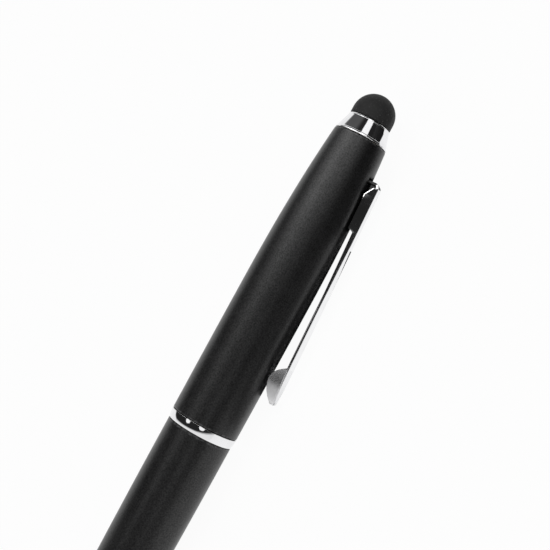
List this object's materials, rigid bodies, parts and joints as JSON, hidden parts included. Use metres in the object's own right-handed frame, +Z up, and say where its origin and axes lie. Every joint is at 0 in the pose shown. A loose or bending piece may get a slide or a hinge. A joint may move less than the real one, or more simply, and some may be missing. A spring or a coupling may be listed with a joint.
{
  "type": "twist ballpoint pen with stylus tip",
  "caption": "Slim metal twist ballpoint pen with tapered matte black barrels, chrome ring, folded chrome pocket clip and a soft rubber dome on a chrome collar for touch screens.",
  "frame": {"origin": "on the table, under the middle of the pen's length and width as it lies leaning on its clip", "axes": "+X along the pen from the writing end to the soft tip, +Z up from the table, -Y on the clip's side"},
  "size_m": [0.138, 0.0141, 0.0118],
  "materials": {
    "black_lacquer": "matte black lacquer over metal",
    "chrome": "bright chrome plate",
    "soft_rubber": "matte black conductive rubber",
    "brass": "turned brass",
    "steel": "bright steel",
    "white_plastic": "white moulded plastic",
    "ink": "wet blue-black ink"
  },
  "bodies": {
    "lower_body": {"lower_barrel": "black_lacquer", "nose_cone": "chrome", "thread_bush": "brass", "guide_sleeve": "brass", "centre_ring": "chrome", "return_spring": "steel"},
    "upper_body": {"upper_barrel": "black_lacquer", "cam_sleeve": "white_plastic", "turning_bush": "white_plastic", "friction_ring": "soft_rubber", "clip_retainer": "white_plastic", "stylus_socket": "brass", "stylus_collar": "chrome", "stylus_stud": "brass", "stylus_dome": "soft_rubber"},
    "refill_body": {"plunger": "white_plastic", "plunger_pin": "steel", "refill_plug": "white_plastic", "refill_tube": "steel", "ink_column": "ink", "refill_nose": "brass", "tip_tube": "steel"},
    "clip_body": {"pocket_clip": "chrome"},
    "ball_body": {"writing_ball": "steel"}
  },
  "joints": [
    {"name": "barrel_twist", "type": "hinge", "parent": "lower_body", "child": "upper_body", "pos_m": [0, 0.00121, 0.0059], "axis": [-1, 0, 0], "range_deg": [0, 180]},
    {"name": "refill_slide", "type": "slide", "parent": "lower_body", "child": "refill_body", "axis": [-1, 0, 0], "range_m": [0, 0.0055], "deforming": ["return_spring"]},
    {"name": "clip_flex", "type": "hinge", "parent": "upper_body", "child": "clip_body", "pos_m": [0.0553, -0.00322, 0.00329], "axis": [0, -0.508, 0.8614], "range_deg": [0, 4], "stiffness_Nm_per_rad": 2.5},
    {"name": "ball_roll", "type": "hinge", "parent": "refill_body", "child": "ball_body", "pos_m": [-0.066, 0.00121, 0.0059], "axis": [0, 1, 0], "continuous": true}
  ],
  "couplings": [
    {"joint": "refill_slide", "follows": "barrel_twist", "m_per_rad": 0.0017507}
  ]
}
